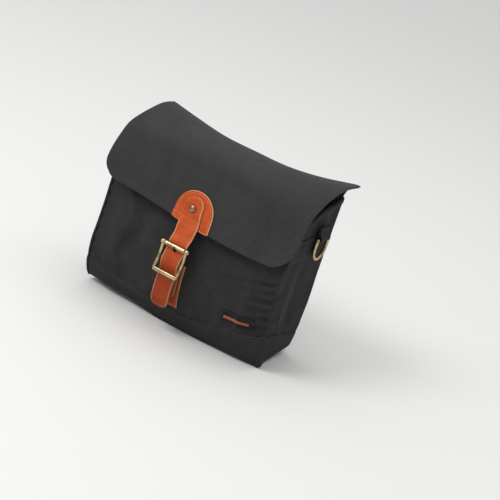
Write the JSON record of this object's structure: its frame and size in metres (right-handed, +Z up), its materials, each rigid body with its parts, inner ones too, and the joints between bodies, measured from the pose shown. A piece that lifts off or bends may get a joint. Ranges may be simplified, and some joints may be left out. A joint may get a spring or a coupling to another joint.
{
  "type": "handlebar bag",
  "caption": "Boxy cloth handlebar bag with a drop-front flap, leather strap-and-buckle closure, side rings and leather loops for a handlebar",
  "frame": {"origin": "centre of the base's underside, where the bag stands", "axes": "+Z up; the flap and buckle face -Y; the handlebar lies behind the bag (+Y) along X; +X is the wearer-independent right as seen from the front"},
  "size_m": [0.298, 0.182, 0.2422],
  "materials": {
    "body_cloth": "coated nylon weave, matt",
    "flap_cloth": "coated nylon weave, soft sheen",
    "base_cloth": "coated nylon weave, matt",
    "board": "matt",
    "lining_cloth": "smooth woven lining",
    "tape": "ribbed webbing",
    "piping": "covered cord",
    "label_cloth": "fine woven label, blank",
    "leather": "tan vegetable-tanned leather, light sheen",
    "brass": "antique, softly worn",
    "snap_steel": "plated"
  },
  "bodies": {
    "bag_body": {"front_panel": "body_cloth", "back_panel": "body_cloth", "gusset_left": "body_cloth", "gusset_right": "body_cloth", "base_panel": "base_cloth", "back_board": "board", "base_board": "board", "lining": "lining_cloth", "rim_binding": "tape", "front_piping_left": "piping", "front_piping_right": "piping", "rear_seam_cord": "piping", "woven_label": "label_cloth", "gusset_band_left": "tape", "gusset_band_right": "tape", "ring_tab_left": "tape", "ring_tab_right": "tape", "base_strip": "leather", "magnet_base": "snap_steel", "bar_patch_left": "leather", "bar_patch_right": "leather", "stud_post_left": "brass", "stud_post_right": "brass", "patch_rivets_left": "brass", "patch_rivets_right": "brass"},
    "flap_rear": {"flap_top": "flap_cloth", "flap_top_lining": "lining_cloth"},
    "flap_drop": {"flap_front": "flap_cloth", "flap_front_lining": "lining_cloth", "closure_patch": "leather", "strap_head": "leather", "rivet_cap": "brass", "rivet_burr": "brass"},
    "closure": {"closure_strap": "leather", "buckle_frame": "brass", "buckle_centre_bar": "brass", "buckle_chape": "leather", "magnet_cap": "snap_steel"},
    "prong": {"buckle_prong": "brass"},
    "roller": {"buckle_roller": "brass"},
    "ring_left": {"d_ring_left": "brass"},
    "ring_right": {"d_ring_right": "brass"},
    "bar_loop_left": {"bar_strap_left": "leather", "stud_cap_left": "brass"},
    "bar_loop_right": {"bar_strap_right": "leather", "stud_cap_right": "brass"}
  },
  "joints": [
    {"name": "flap_opening", "type": "hinge", "parent": "bag_body", "child": "flap_rear", "pos_m": [0, 0.0555, 0.2365], "axis": [-1, 0, 0], "range_deg": [0, 110]},
    {"name": "flap_fold", "type": "hinge", "parent": "flap_rear", "child": "flap_drop", "pos_m": [0, -0.046, 0.232], "axis": [-1, 0, 0], "range_deg": [0, 110]},
    {"name": "closure_lift", "type": "hinge", "parent": "flap_drop", "child": "closure", "pos_m": [0, -0.0814, 0.149], "axis": [-1, 0, 0], "range_deg": [0, 70]},
    {"name": "prong_swing", "type": "hinge", "parent": "closure", "child": "prong", "pos_m": [0, -0.0895, 0.101], "axis": [1, 0, 0], "range_deg": [0, 55]},
    {"name": "roller_spin", "type": "hinge", "parent": "closure", "child": "roller", "pos_m": [0, -0.0945, 0.123], "axis": [1, 0, 0], "continuous": true},
    {"name": "ring_left_swing", "type": "hinge", "parent": "bag_body", "child": "ring_left", "pos_m": [-0.14517, 0.018, 0.181], "axis": [0, 1, 0], "range_deg": [0, 100]},
    {"name": "ring_right_swing", "type": "hinge", "parent": "bag_body", "child": "ring_right", "pos_m": [0.14517, 0.018, 0.181], "axis": [0, -1, 0], "range_deg": [0, 100]},
    {"name": "bar_loop_left_open", "type": "hinge", "parent": "bag_body", "child": "bar_loop_left", "pos_m": [-0.078, 0.0582, 0.224], "axis": [1, 0, 0], "range_deg": [0, 85]},
    {"name": "bar_loop_right_open", "type": "hinge", "parent": "bag_body", "child": "bar_loop_right", "pos_m": [0.078, 0.0582, 0.224], "axis": [1, 0, 0], "range_deg": [0, 85]}
  ]
}
